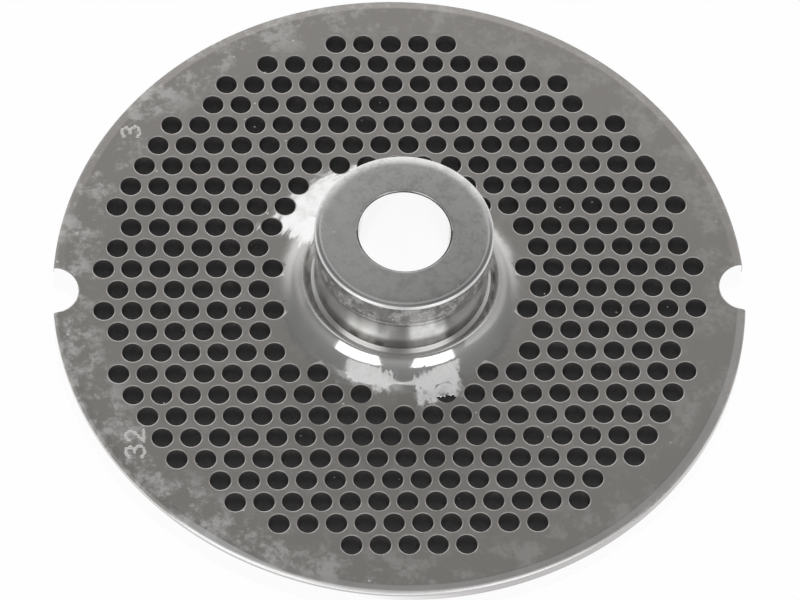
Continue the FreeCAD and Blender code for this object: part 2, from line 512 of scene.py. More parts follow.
for node, wiring in {
    lattice: {"Pitch": "Hole Pitch", "Nearest": "Nearest Hole", "Farthest": "Farthest Hole"},
    hole_drill: {"Radius": "Hole Radius", "Edge": "Hole Edge", "Thickness": "Thickness"},
    notch_drill: {"Radius": "Notch Radius", "Edge": "Notch Edge", "Thickness": "Thickness"},
}.items():
    for name, source in wiring.items():
        tool_tree.links.new(given[source], node.inputs[name])
notch_drill.inputs["Sides"].default_value = NOTCH_SIDES
notch_drill.inputs["Wall Finish"].default_value = BRIGHT
print("a notch's drill has", NOTCH_SIDES, "sides")

# %% Put a drill on every point
notch_points = place(
    tool_tree,
    "GeometryNodeMeshLine",
    {
        "Count": 2,
        "Start Location": join(tool_tree, X=maths(tool_tree, "MULTIPLY", given["Rim Radius"], -1)),
        "Offset": join(tool_tree, X=given["Rim Radius"]),
    },
    mode="END_POINTS",
)
drills = place(tool_tree, "GeometryNodeJoinGeometry")
for points, drill in ((lattice, hole_drill), (notch_points, notch_drill)):
    cutters = place(
        tool_tree,
        "GeometryNodeInstanceOnPoints",
        {"Points": points.outputs[0], "Instance": drill.outputs[0]},
    )
    tool_tree.links.new(cutters.outputs[0], drills.inputs[0])
cutters = place(tool_tree, "GeometryNodeRealizeInstances", {0: drills.outputs[0]})
print("the tool's tree has", len(tool_tree.nodes), "nodes so far")

# %% Cut the blank and give every face its material
cut = place(tool_tree, "GeometryNodeMeshBoolean", operation="DIFFERENCE", solver="MANIFOLD")
tool_tree.links.new(given["Geometry"], cut.inputs["Mesh 1"])
tool_tree.links.new(cutters.outputs[0], cut.inputs["Mesh 2"])
made = place(tool_tree, "GeometryNodeRealizeInstances", {0: cut.outputs[0]}).outputs[0]
stored = place(tool_tree, "GeometryNodeInputNamedAttribute", {"Name": FINISH}, data_type="INT")
for code, name in FINISH_NAMES.items():
    is_this = place(
        tool_tree,
        "FunctionNodeCompare",
        {"A": stored.outputs[0], "B": code},
        data_type="INT",
        operation="EQUAL",
    )
    made = place(
        tool_tree,
        "GeometryNodeSetMaterial",
        {"Geometry": made, "Selection": is_this.outputs[0], "Material": given[name]},
    ).outputs[0]
place(tool_tree, "NodeGroupOutput", {0: made})
print("the tool's tree has", len(tool_tree.nodes), "nodes")

# %% Run the tool and keep the result as a plain mesh
SHARP_EDGE = math.radians(16)


def run_tree(mesh, tree, inputs, name):
    """Run a Geometry Nodes tree on a mesh, and give back an object with the result as a plain mesh."""
    source = bpy.data.objects.new(name, mesh)
    bpy.context.scene.collection.objects.link(source)
    modifier = source.modifiers.new(tree.name, "NODES")
    modifier.node_group = tree
    sockets = {item.name: item.identifier for item in tree.interface.items_tree if item.in_out == "INPUT"}
    for label, value in inputs.items():
        modifier[sockets[label]] = value
    evaluated = source.evaluated_get(bpy.context.evaluated_depsgraph_get())
    result = bpy.data.meshes.new_from_object(evaluated)
    source.modifiers.remove(modifier)
    for index in reversed(range(len(result.materials))):
        if result.materials[index] is None:
            result.materials.pop(index=index)
    source.data = result
    result.name = name
    return source


plate = run_tree(
    blank_mesh,
    tool_tree,
    {name: finishes[code] for code, name in FINISH_NAMES.items()},
    "perforated_plate",
)
plate.data.shade_smooth()
plate.data.set_sharp_from_angle(angle=SHARP_EDGE)
plate.data.calc_loop_triangles()
print(len(plate.data.polygons), "faces,", len(plate.data.loop_triangles), "triangles in the plate")
for index, material in enumerate(plate.data.materials):
    print(material.name, sum(face.material_index == index for face in plate.data.polygons))

# %% [markdown]
# ## Peened numbers
#
# Two plain numbers are peened near the rim: the diameter of the holes and the size of the plate. They
# are made of many small light dots, as a marking pen leaves them. A text object would give the smooth
# outline of a font, so the strokes are short open lines. Geometry Nodes walk along each line, drop a
# flattened dot at every step and move it a little at random, with a fixed seed.

# %% The strokes of the digits
DIGIT_HEIGHT = 2.6 * MM
DIGITS = {
    "3": [
        [(0.05, 0.86), (0.25, 1.0), (0.5, 0.96), (0.6, 0.78), (0.5, 0.6), (0.28, 0.53)],
        [(0.28, 0.53), (0.54, 0.46), (0.66, 0.27), (0.54, 0.06), (0.27, 0.0), (0.02, 0.14)],
    ],
    "2": [
        [(0.04, 0.78), (0.14, 0.95), (0.34, 1.0), (0.55, 0.92), (0.6, 0.72), (0.42, 0.42), (0.02, 0.02)],
        [(0.02, 0.02), (0.36, 0.03), (0.66, 0.02)],
    ],
}
DIGIT_WIDTH = 1.1
DIGIT_STEP = 0.9
WIDEST_STROKE = 0.66
MARKS = {"3": Vector((-37.9, 26.5)) * MM, "32": Vector((-37.8, -25.2)) * MM}


def mark_strokes(text, centre):
    """The strokes of a number, read with the plate turned a quarter to the right."""
    width = DIGIT_STEP * (len(text) - 1) + WIDEST_STROKE
    wide = DIGIT_HEIGHT * DIGIT_WIDTH
    strokes = []
    for index, digit in enumerate(text):
        for stroke in DIGITS[digit]:
            points = []
            for across, up in stroke:
                along = (index * DIGIT_STEP + across - width / 2) * wide
                rise = (up - 0.5) * DIGIT_HEIGHT
                points.append((centre.x - rise, centre.y + along, FACE))
            strokes.append(points)
    return strokes


def stroke_mesh(name, strokes):
    """Open lines as edges of a mesh."""
    verts = []
    edges = []
    for points in strokes:
        start = len(verts)
        verts += points
        edges += [(start + i, start + i + 1) for i in range(len(points) - 1)]
    mesh = bpy.data.meshes.new(name)
    mesh.from_pydata(verts, edges, [])
    return mesh


strokes = [stroke for text, centre in MARKS.items() for stroke in mark_strokes(text, centre)]
print(len(strokes), "strokes in the two numbers")

# %% The peening tree
peen_tree = new_tree(
    "peen_along_strokes",
    "GeometryNodeTree",
    [
        ("Geometry", GEOMETRY, None),
        ("Dot Radius", FLOAT, 0.26 * MM),
        ("Dot Height", FLOAT, 0.13 * MM),
        ("Step", FLOAT, 0.15 * MM),
        ("Wander", FLOAT, 0.08 * MM),
        ("Seed", INTEGER, 4),
        ("Material", MATERIAL, None),
    ],
    [("Geometry", GEOMETRY)],
)
given = place(peen_tree, "NodeGroupInput").outputs
curve = place(peen_tree, "GeometryNodeMeshToCurve", {0: given["Geometry"]})
dots = place(
    peen_tree,
    "GeometryNodeResampleCurve",
    {0: curve.outputs[0], "Length": given["Step"]},
    mode="LENGTH",
)
points = place(peen_tree, "GeometryNodeCurveToPoints", {0: dots.outputs[0]}, mode="EVALUATED")
wander = given["Wander"]
least = maths(peen_tree, "MULTIPLY", wander, -1)
jitter = place(
    peen_tree,
    "FunctionNodeRandomValue",
    {
        0: join(peen_tree, X=least, Y=least),
        1: join(peen_tree, X=wander, Y=wander),
        "Seed": given["Seed"],
    },
    data_type="FLOAT_VECTOR",
)
moved = place(peen_tree, "GeometryNodeSetPosition", {0: points.outputs[0], "Offset": jitter.outputs[0]})
print("the peening tree has", len(peen_tree.nodes), "nodes so far")

# %% A flattened dot on every point
SMALLEST_DOT, LARGEST_DOT = 0.6, 1.1

dot = place(peen_tree, "GeometryNodeMeshIcoSphere", {"Radius": 1.0, "Subdivisions": 2})
size = place(
    peen_tree,
    "FunctionNodeRandomValue",
    {2: SMALLEST_DOT, 3: LARGEST_DOT, "Seed": maths(peen_tree, "ADD", given["Seed"], 1)},
    data_type="FLOAT",
).outputs[1]
width = maths(peen_tree, "MULTIPLY", size, given["Dot Radius"])
domes = place(
    peen_tree,
    "GeometryNodeInstanceOnPoints",
    {
        "Points": moved.outputs[0],
        "Instance": dot.outputs[0],
        "Scale": join(peen_tree, X=width, Y=width, Z=given["Dot Height"]),
    },
)
real = place(peen_tree, "GeometryNodeRealizeInstances", {0: domes.outputs[0]})
finished = place(peen_tree, "GeometryNodeSetMaterial", {0: real.outputs[0], "Material": given["Material"]})
place(peen_tree, "NodeGroupOutput", {0: finished.outputs[0]})

numbers = run_tree(stroke_mesh("strokes", strokes), peen_tree, {"Material": peened}, "peened_numbers")
numbers.data.shade_smooth()
print(len(numbers.data.polygons), "faces in the peened numbers")

# %% [markdown]
# ## Dried polish
#
# White polish has dried in three of the holes next to the hub's root. It closes two of them behind the
# hub and part of one in front. Leaving these holes out of the grid would say that they were never
# drilled, so the holes stay, and each has a plug: a thin slab that lies flush with the face. A plug is
# listed by its centre and by how far it goes on in front of it, both in millimetres.

# %% The plugs
PLUG_TOP = FACE + 0.01 * MM
PLUG_BOTTOM = FACE - 0.2 * MM
PLUG_POINTS = 48
PLUG_SEED = 8
PLUG_REACH = 1.68
REACH_SPREAD = (-0.03, 0.06)
CUT_SPREAD = (-0.25, 0.25)
WHOLE = 9.0
PLUGS = (((-12.0, 13.86), WHOLE), ((-10.0, 17.32), WHOLE), ((6.0, -17.32), 0.35))


def add_plugs(name):
    """One closed slab a plug, cut off raggedly in front where it ends early."""
    chance = random.Random(PLUG_SEED)
    verts = []
    faces = []
    for (across, along), cut in PLUGS:
        start = len(verts)
        for step in range(PLUG_POINTS):
            angle = 2 * math.pi * step / PLUG_POINTS
            reach = PLUG_REACH + chance.uniform(*REACH_SPREAD)
            x = reach * math.cos(angle)
            y = max(reach * math.sin(angle), -cut + chance.uniform(*CUT_SPREAD))
            spot = ((across + x) * MM, (along + y) * MM)
            verts += [(*spot, height) for height in (PLUG_TOP, PLUG_BOTTOM)]
        top = [start + 2 * step for step in range(PLUG_POINTS)]
        faces += [top, [index + 1 for index in reversed(top)]]
        faces += [(a, a + 1, b + 1, b) for a, b in zip(top, top[1:] + top[:1])]
    mesh = bpy.data.meshes.new(name)
    mesh.from_pydata(verts, [], faces)
    mesh.materials.append(finishes[GROUND])
    plugs = bpy.data.objects.new(name, mesh)
    bpy.context.scene.collection.objects.link(plugs)
    return plugs


dried_polish = add_plugs("dried_polish")
print(len(PLUGS), "plugs with", len(dried_polish.data.polygons), "faces")

# %% [markdown]
# ## Shared effects
#
# Four effects come back in the finishes, so each is a shader node group with named inputs. Written out
# in every material, one change to an effect would have to be made in several places. Stains are the
# soft cloudy patches that handling leaves. Specks are small dots where grains of metal or dust lie.
# Grain is the fine parallel scratching of a surface grinder. Wisps are streaks of white polish that were
# wiped round the hub and dried there, and their white is partly a painted highlight.

# %% Helpers for sums, products and masks
def times(tree, first, *others):
    """The product of two or more values."""
    for other in others:
        first = maths(tree, "MULTIPLY", first, other)
    return first


def most(tree, first, *others):
    """The largest of two or more values."""
    for other in others:
        first = maths(tree, "MAXIMUM", first, other)
    return first


def without(tree, mask):
    """The places outside a mask."""
    return maths(tree, "SUBTRACT", 1.0, mask)


def between(tree, mask, low, high):
    """A value that is low outside a mask and high inside it."""
    return maths(tree, "MULTIPLY_ADD", mask, high - low, low)


def jog(tree, value, noise, reach):
    """A value moved up and down by a noise."""
    return maths(tree, "MULTIPLY_ADD", maths(tree, "SUBTRACT", noise, 0.5), reach, value)


# %% Helpers for noises, ramps and blends
def add_noise(tree, vector, scale, detail=3.0, roughness=0.55):
    """A smooth noise value from about 0 to 1."""
    inputs = {"Vector": vector, "Scale": scale, "Detail": detail, "Roughness": roughness}
    return place(tree, "ShaderNodeTexNoise", inputs).outputs[0]


def ramp(tree, value, span, first=0.0, last=1.0):
    """A smooth change from the first result to the last, while a value crosses a span."""
    inputs = {0: value, 1: span[0], 2: span[1], 3: first, 4: last}
    return place(tree, "ShaderNodeMapRange", inputs, interpolation_type="SMOOTHSTEP").outputs[0]


def line_at(tree, value, middle, core, edge, strength):
    """A soft line round the middle: full within the core's distance, and gone at the edge's."""
    off = maths(tree, "ABSOLUTE", maths(tree, "SUBTRACT", value, middle))
    return ramp(tree, off, (core, edge), strength, 0.0)


def mix_colours(tree, factor, first, second):
    """A blend of two colours."""
    return place(tree, "ShaderNodeMix", {0: factor, 6: first, 7: second}, data_type="RGBA").outputs[2]


def mix_values(tree, factor, first, second):
    """A blend of two numbers."""
    return place(tree, "ShaderNodeMix", {0: factor, 2: first, 3: second}, data_type="FLOAT").outputs[0]


def mix_vectors(tree, factor, first, second):
    """A blend of two vectors."""
    return place(tree, "ShaderNodeMix", {0: factor, 4: first, 5: second}, data_type="VECTOR").outputs[1]


def unit(tree, vector):
    """A vector's direction, with the length of one."""
    return place(tree, "ShaderNodeVectorMath", {0: vector}, operation="NORMALIZE").outputs[0]


def from_axis(tree, parts):
    """How far a place lies from the bore's axis."""
    return length(tree, join(tree, X=parts["X"], Y=parts["Y"]))


# %% Stains
FINER = 5.5
BROAD_SHARE, FINE_SHARE = 0.75, 0.25
STAIN_THRESHOLD, SPREAD_SHARE, STAIN_FADE = 0.72, 0.35, 0.14

stain_tree = new_tree(
    "stains",
    "ShaderNodeTree",
    [("Vector", VECTOR, None), ("Scale", FLOAT, 110.0), ("Amount", FLOAT, 1.0), ("Spread", FLOAT, 0.5)],
    [("Mask", FLOAT)],
)
given = place(stain_tree, "NodeGroupInput").outputs
broad = add_noise(stain_tree, given["Vector"], given["Scale"], detail=6.0, roughness=0.7)
fine = add_noise(stain_tree, given["Vector"], times(stain_tree, given["Scale"], FINER), detail=2.0)
cloud = maths(stain_tree, "ADD", times(stain_tree, broad, BROAD_SHARE), times(stain_tree, fine, FINE_SHARE))
threshold = maths(stain_tree, "SUBTRACT", STAIN_THRESHOLD, times(stain_tree, given["Spread"], SPREAD_SHARE))
mask = ramp(stain_tree, cloud, (threshold, maths(stain_tree, "ADD", threshold, STAIN_FADE)))
place(stain_tree, "NodeGroupOutput", {0: times(stain_tree, mask, given["Amount"])})
print("stains:", len(stain_tree.nodes), "nodes")

# %% Specks
WOBBLE_FINER = 2.0
WOBBLE_SHARE, WOBBLE_MEAN = 0.25, 0.12

speck_tree = new_tree(
    "specks",
    "ShaderNodeTree",
    [("Vector", VECTOR, None), ("Scale", FLOAT, 700.0), ("Size", FLOAT, 0.12), ("Share", FLOAT, 0.05)],
    [("Mask", FLOAT)],
)
given = place(speck_tree, "NodeGroupInput").outputs
wobble = add_noise(speck_tree, given["Vector"], times(speck_tree, given["Scale"], WOBBLE_FINER))
cells = place(speck_tree, "ShaderNodeTexVoronoi", {"Vector": given["Vector"], "Scale": given["Scale"]})
distance = maths(speck_tree, "SUBTRACT", cells.outputs["Distance"], WOBBLE_MEAN)
edge = maths(speck_tree, "MULTIPLY_ADD", wobble, WOBBLE_SHARE, distance)
dot_mask = maths(speck_tree, "LESS_THAN", edge, given["Size"])
pick = place(speck_tree, "ShaderNodeSeparateColor", {0: cells.outputs["Color"]}).outputs[0]
is_picked = maths(speck_tree, "LESS_THAN", pick, given["Share"])
place(speck_tree, "NodeGroupOutput", {0: times(speck_tree, dot_mask, is_picked)})
print("specks:", len(speck_tree.nodes), "nodes")

# %% Grain
grain_tree = new_tree(
    "grain",
    "ShaderNodeTree",
    [("Vector", VECTOR, None), ("Along", FLOAT, 60.0), ("Across", FLOAT, 4000.0)],
    [("Height", FLOAT)],
)
given = place(grain_tree, "NodeGroupInput").outputs
parts = split(grain_tree, given["Vector"])
stretched = join(
    grain_tree,
    X=times(grain_tree, parts["X"], given["Along"]),
    Y=times(grain_tree, parts["Y"], given["Across"]),
    Z=times(grain_tree, parts["Z"], given["Across"]),
)
place(grain_tree, "NodeGroupOutput", {0: add_noise(grain_tree, stretched, 1.0, detail=4.0, roughness=0.7)})
print("grain:", len(grain_tree.nodes), "nodes")

# %% Wisps
TORN_REACH = 7.0 * MM
TORN_EDGE = (-0.3 * MM, 1.5 * MM)

wisp_tree = new_tree(
    "wisps",
    "ShaderNodeTree",
    [
        ("Vector", VECTOR, None),
        ("Middle", FLOAT, 0.0),
        ("Reach", FLOAT, 0.4),
        ("Inner", FLOAT, 15.0 * MM),
        ("Outer", FLOAT, 20.0 * MM),
        ("Along", FLOAT, 6.0),
        ("Across", FLOAT, 1500.0),
    ],
    [("Mask", FLOAT)],
)
given = place(wisp_tree, "NodeGroupInput").outputs
parts = split(wisp_tree, given["Vector"])
radius = from_axis(wisp_tree, parts)
angle = maths(wisp_tree, "ARCTAN2", parts["Y"], parts["X"])
unrolled = join(
    wisp_tree,
    X=times(wisp_tree, angle, given["Along"]),
    Y=times(wisp_tree, radius, given["Across"]),
)
streaks = add_noise(wisp_tree, unrolled, 1.0, detail=4.0, roughness=0.65)
off_middle = maths(wisp_tree, "ABSOLUTE", maths(wisp_tree, "SUBTRACT", angle, given["Middle"]))
from_ends = times(wisp_tree, maths(wisp_tree, "SUBTRACT", given["Reach"], off_middle), radius)
from_sides = maths(
    wisp_tree,
    "MINIMUM",
    maths(wisp_tree, "SUBTRACT", radius, given["Inner"]),
    maths(wisp_tree, "SUBTRACT", given["Outer"], radius),
)
torn = jog(wisp_tree, maths(wisp_tree, "MINIMUM", from_ends, from_sides), streaks, TORN_REACH)
place(wisp_tree, "NodeGroupOutput", {0: ramp(wisp_tree, torn, TORN_EDGE)})
print("wisps:", len(wisp_tree.nodes), "nodes")

# %% [markdown]
# ## Ground disc and polished hub
#
# The disc and the hub are one surface with two finishes: satin where a surface grinder has passed, and
# glossy where a buffing wheel has gone over the hub and its root by hand. Two meshes would meet in a
# visible seam, and a painted image would have to be redone for another size. So one material blends
# the two by masks, and every mask is worked out from where a point lies: its distance from the bore's
# axis, its height, and how far it is to the side or to the front. Hand work has no clean limit, so a
# little noise moves the radius at which the polish ends.

# %% Use a shared effect
def effect(tree, group, **inputs):
    """Put a shared group into a material's tree."""
    return place(tree, "ShaderNodeGroup", inputs, node_tree=group).outputs[0]


def start(material):
    """A material's tree, its shader and its Object coordinates."""
    tree = material.node_tree
    shader = tree.nodes["Principled BSDF"]
    return tree, shader, place(tree, "ShaderNodeTexCoord").outputs["Object"]


def near(middle, low, high):
    """A span that starts and ends so many millimetres from a place."""
    return middle + low * MM, middle + high * MM


def toward(tree, parts, across, along):
    """How far a place lies in a level direction."""
    return maths(tree, "MULTIPLY_ADD", parts["X"], across, times(tree, parts["Y"], along))


# %% Where the polish ends
WANDER = 5.0 * MM
BUFFED = (16.4 * MM, 17.8 * MM)
BESIDE_HUB = (-9.0 * MM, 0.0)
ROOT_SHADE_SHARE = 0.4

tree, shader, spot = start(finishes[GROUND])
parts = split(tree, spot)
radius = from_axis(tree, parts)
wobble = add_noise(tree, spot, 260.0)
buffed = ramp(tree, jog(tree, radius, wobble, WANDER), BUFFED, 1.0, 0.0)
is_side = ramp(tree, maths(tree, "ADD", parts["Y"], times(tree, wobble, WANDER)), BESIDE_HUB)
# Behind the hub the root's upper band takes back part of the satin colour, and this darker colour is painted
# shade.
root_shade = ramp(tree, parts["Z"], near(ROOT_TOP, -0.4, 0.0), ROOT_SHADE_SHARE, 0.0)
polish = times(tree, buffed, without(tree, times(tree, is_side, root_shade)))
print(f"the polish ends between {BUFFED[0] / MM:.1f} and {BUFFED[1] / MM:.1f} mm from the axis")

# %% Stains, specks and grain of the face
OUTER_BAND = (41.0 * MM, 46.0 * MM)
LEFTWARD = (12.0 * MM, -30.0 * MM)
RIGHT_STAINS, LEAST_STAINS = 0.25, 0.15

band = ramp(tree, radius, OUTER_BAND)
is_left = ramp(tree, parts["X"], LEFTWARD)
where = times(tree, band, between(tree, is_left, RIGHT_STAINS, 1.0))
amount = between(tree, where, LEAST_STAINS, 1.0)
stains = effect(tree, stain_tree, Vector=spot, Scale=230.0, Spread=0.72, Amount=amount)
hub_film = effect(tree, stain_tree, Vector=spot, Scale=420.0, Spread=0.75)
specks = effect(tree, speck_tree, Vector=spot)
grain = effect(tree, grain_tree, Vector=spot)
print("the face's material has", len(tree.nodes), "nodes so far")

# %% [markdown]
# ## Worn edges, painted highlights and painted shade lines
#
# Handling wears edges first. The upper edge of the hub is worn bright and a little rough, and its paler
# colour is partly a painted highlight. The front edge of the rim has a painted highlight, and round the hub's
# top run a painted highlight line and a painted shade line. Strips of geometry with a material of their own
# would have hard borders. A ramp over the radius or the height fades out on both sides, and a second ramp
# keeps these painted marks to the near side.

# %% Masks for the hub's edge and top
NEAR_SIDE = (5.0 * MM, -1.0 * MM)
# On the near side of the hub's top run a painted highlight line and, beside it, a painted shade line.
# Each line is its place, the half widths of its core and of its fade, and its strength.
CROWN_HIGHLIGHT = (HUB_RADIUS - 0.78 * MM, 0.06 * MM, 0.16 * MM, 0.75)
CROWN_SHADE_LINE = (HUB_RADIUS - 0.48 * MM, 0.08 * MM, 0.2 * MM, 0.8)

near_side = ramp(tree, parts["Y"], NEAR_SIDE)
on_crown = ramp(tree, parts["Z"], near(HUB_TOP, -0.35, -0.3))
on_edge = ramp(tree, radius, near(HUB_RADIUS, -0.3, -0.16))
# The hub's upper edge is worn, and its paler colour is partly a painted highlight.
hub_edge = times(tree, on_edge, ramp(tree, parts["Z"], near(HUB_TOP, -0.66, -0.56)))
crown_highlight = times(tree, line_at(tree, radius, *CROWN_HIGHLIGHT), near_side, on_crown)
crown_shade_line = times(tree, line_at(tree, radius, *CROWN_SHADE_LINE), near_side, on_crown)
print(f"the bright line on the hub's top lies {CROWN_HIGHLIGHT[0] / MM:.2f} mm from the axis")

# %% Masks for the rim
# The pale front edge of the rim is a painted highlight. It is stronger on the left and reaches farther in at
# the lower left.
RIM_FRONT = (-35.0 * MM, -39.0 * MM)
LOW_LEFT = (-14.0 * MM, -28.0 * MM)
LOW_LEFT_SHIFT = 0.7 * MM
RIM_RIGHT = (8.0 * MM, 30.0 * MM)
LEFT_HIGHLIGHT, RIGHT_HIGHLIGHT = 0.85, 0.4
SIDE_SHADE = 0.85
BEVEL_WAY = (0.6, -0.8)
BEVEL_FRONT = (16.0 * MM, 42.0 * MM)
# The pale line on the bevel in front is a painted highlight.
BEVEL_HIGHLIGHT = (RIM_RADIUS - 0.85 * MM, 0.25 * MM, 0.55 * MM, 0.9)

rim_front = ramp(tree, parts["Y"], RIM_FRONT)
shifted = maths(tree, "MULTIPLY_ADD", ramp(tree, parts["X"], LOW_LEFT), LOW_LEFT_SHIFT, radius)
on_rim = ramp(tree, shifted, near(RIM_RADIUS, -0.6, -0.3))
rim_highlight_strength = ramp(tree, parts["X"], RIM_RIGHT, LEFT_HIGHLIGHT, RIGHT_HIGHLIGHT)
rim_front_highlight = times(tree, on_rim, times(tree, rim_front, rim_highlight_strength))
# Painted shade: the rim's round is dulled at the sides and the back, and not in front.
on_round = ramp(tree, radius, near(RIM_RADIUS, -0.55, -0.4), 0.0, SIDE_SHADE)
rim_round_shade = times(tree, on_round, without(tree, rim_front))
in_front = ramp(tree, toward(tree, parts, *BEVEL_WAY), BEVEL_FRONT)
bevel = times(tree, line_at(tree, radius, *BEVEL_HIGHLIGHT), in_front)
# The worn hub edge, together with the painted highlights on the rim's front and on the hub's top.
wear_and_highlight = most(tree, hub_edge, rim_front_highlight, crown_highlight)
print(f"the bevel's pale line lies {BEVEL_HIGHLIGHT[0] / MM:.2f} mm from the axis")

# %% [markdown]
# ## Painted shade and marks on the hub
#
# A dark ring of painted shade sits where the root meets the hub's neck in front, and two dull lines of
# painted shade run under and over the foot of the collar. Soft marks of residue lie on the hub's top. A ring
# in an image would have to be fitted to the neck by hand. All of these follow a height, so a ramp over Z
# finds them on a hub of any size.

# %% Masks for the painted shade and the marks
NECK_FRONT = (-2.0 * MM, -9.0 * MM)
# Two lines of painted shade on the hub's wall.
SHADE_LINES = (
    (COLLAR_FOOT - 0.55 * MM, 0.26 * MM, 0.65 * MM, 0.8),
    (COLLAR_FOOT + 0.6 * MM, 0.14 * MM, 0.35 * MM, 0.6),
)
LEAST_MARKS, MOST_MARKS = 0.1, 0.45

on_hub_wall = ramp(tree, radius, near(NECK_RADIUS, -0.1, -0.05))
foot = ramp(tree, parts["Z"], near(ROOT_TOP, -0.8, -0.4))
painted_shade_and_marks = times(tree, foot, ramp(tree, parts["Z"], near(ROOT_TOP, 2.0, 3.4), 1.0, 0.0))
painted_shade_and_marks = times(tree, painted_shade_and_marks, ramp(tree, parts["Y"], NECK_FRONT))
for line in SHADE_LINES:
    painted_shade_and_marks = most(tree, painted_shade_and_marks, times(tree, line_at(tree, parts["Z"], *line), on_hub_wall))
top_marks = times(tree, on_crown, between(tree, hub_film, LEAST_MARKS, MOST_MARKS))
painted_shade_and_marks = most(tree, painted_shade_and_marks, top_marks, crown_shade_line)
print(len(SHADE_LINES), "turned lines on the hub's wall")

# %% [markdown]
# ## Colours and roughness of the face
#
# Steel has one colour, and what differs is how dirty and how rough it is, and where light and shade are
# painted on. The ground disc is a dull satin, the buffed hub is paler and smoother, and stains, grime,
# painted highlights and painted shade tint both. A material for each would end in hard borders. So each mask
# blends one more colour over the last, in the order in which the layers lie on the metal. A bump from the
# grain gives the disc its scratches, which are far too fine to model.

# %% Blend the colours
SATIN = (0.47, 0.45, 0.43, 1)
STAIN_AND_BEVEL_HIGHLIGHT = (0.74, 0.72, 0.70, 1)
POLISHED = (0.80, 0.80, 0.79, 1)
SHADE_AND_GRIME_COLOUR = (0.36, 0.35, 0.34, 1)
SHADE_AND_GRIME_COVER = 0.8
SATIN_ROUGHNESS, STAINED_ROUGHNESS = 0.38, 0.46
ROOT_ROUGHNESS, HUB_ROUGHNESS = 0.1, 0.26

# The pale stain colour also paints the highlight on the bevel in front.
satin = mix_colours(tree, most(tree, stains, bevel), SATIN, STAIN_AND_BEVEL_HIGHLIGHT)
steel = mix_colours(tree, polish, satin, POLISHED)
# The dark colour paints shade at the foot of the neck, in lines on the hub's wall and beside the top's edge,
# and marks of residue on the top.
steel = mix_colours(tree, times(tree, painted_shade_and_marks, SHADE_AND_GRIME_COVER), steel, SHADE_AND_GRIME_COLOUR)
satin_roughness = between(tree, stains, SATIN_ROUGHNESS, STAINED_ROUGHNESS)
upright = ramp(tree, parts["Z"], near(ROOT_TOP, -0.8, -0.4), ROOT_ROUGHNESS, HUB_ROUGHNESS)
roughness = mix_values(tree, polish, satin_roughness, upright)
bump = place(tree, "ShaderNodeBump", {"Strength": 0.25, "Distance": 0.004 * MM, "Height": grain})
normal = bump.outputs[0]
print("the face's material has", len(tree.nodes), "nodes so far")

# %% [markdown]
# ## White wisps at the foot of the hub
#
# Polish has been wiped round the foot of the hub and has dried white, behind it at the left and in two
# patches in front, and the white of these patches is partly a painted highlight. It has no thickness to speak
# of, so geometry would be wasted on it. A pale colour alone would still mirror the dark sky above. So where a
# patch lies, the normal also leans towards a bright part of the studio.

# %% Wisps on the face
PALE_WEAR_POLISH_AND_HIGHLIGHT = (0.97, 0.97, 0.97, 1)
COVER_NOISE = (0.35, 0.6)
LEAST_COVER, MOST_COVER = 0.75, 0.92
# Each patch is its middle and half its width in degrees, its inner and outer radius in millimetres,
# how fine its streaks are along and across the wiping, and the way that its ridges face.
WISPS = (
    (126, 26, 14.0, 22.0, 4.0, 1100.0, (0.0, 0.27, 0.96)),
    (-107, 12, 14.6, 17.4, 12.0, 400.0, (-0.16, -0.47, 0.87)),
    (-73, 12, 14.6, 19.6, 12.0, 400.0, (0.16, -0.47, 0.87)),
)

# One pale colour covers the worn edges, the painted highlights and the wisps, whose white is partly a painted
# highlight too.
bright = wear_and_highlight
cover_noise = add_noise(tree, spot, 500.0, roughness=0.6)
cover = ramp(tree, cover_noise, COVER_NOISE, LEAST_COVER, MOST_COVER)
is_low = ramp(tree, parts["Z"], near(ROOT_TOP, -0.8, -1.2))
for middle, reach, inner, outer, along, across, lean in WISPS:
    patch = effect(
        tree,
        wisp_tree,
        Vector=spot,
        Middle=math.radians(middle),
        Reach=math.radians(reach),
        Inner=inner * MM,
        Outer=outer * MM,
        Along=along,
        Across=across,
    )
    mask = times(tree, patch, times(tree, is_low, cover))
    normal = mix_vectors(tree, mask, normal, lean)
    bright = most(tree, bright, mask)
print(len(WISPS), "patches of wisps")

# %% The hub's edge rolled outwards, and the pale colour of wear, polish and painted highlight
EDGE_RISE = 0.6
EDGE_ROLL = 0.8
WEAR_ROUGHNESS = (0.3, 0.42)

outward = unit(tree, join(tree, X=parts["X"], Y=parts["Y"], Z=times(tree, radius, EDGE_RISE)))
rolled = times(tree, hub_edge, times(tree, near_side, EDGE_ROLL))
normal = unit(tree, mix_vectors(tree, rolled, normal, outward))
steel = mix_colours(tree, bright, steel, PALE_WEAR_POLISH_AND_HIGHLIGHT)
wear_roughness = ramp(tree, wear_and_highlight, (0.0, 1.0), *WEAR_ROUGHNESS)
roughness = mix_values(tree, bright, roughness, wear_roughness)
print("worn edges have a roughness of", WEAR_ROUGHNESS)

# %% [markdown]
# ## A thin film on the hub, with painted light and shade
#
# A wipe leaves a film of fat and residue that dulls the mirror in soft clouds, most on the collar and on the
# left of the hub's top. On the top the film is kept to the left, and there it is painted light that makes
# that side paler. It could be a coat over the metal, but a coat would add a mirror of its own. So the film
# lowers Metallic where it lies, and the steel shows more of its pale colour and less of the room. Stains dull
# the disc a little in the same way, and painted shade makes the rim's round duller at the sides and the back
# than in front.

# %% Film on the wall, and film with painted light on the top
SMEAR_SHARE = 0.25
LEFT_TOP = (5.0 * MM, -11.0 * MM)
WALL_FILM = 0.08
NECK_CLOUDS, COLLAR_CLOUDS = 0.15, 0.6
TOP_FILM, TOP_FILM_MOST = 0.22, 0.34

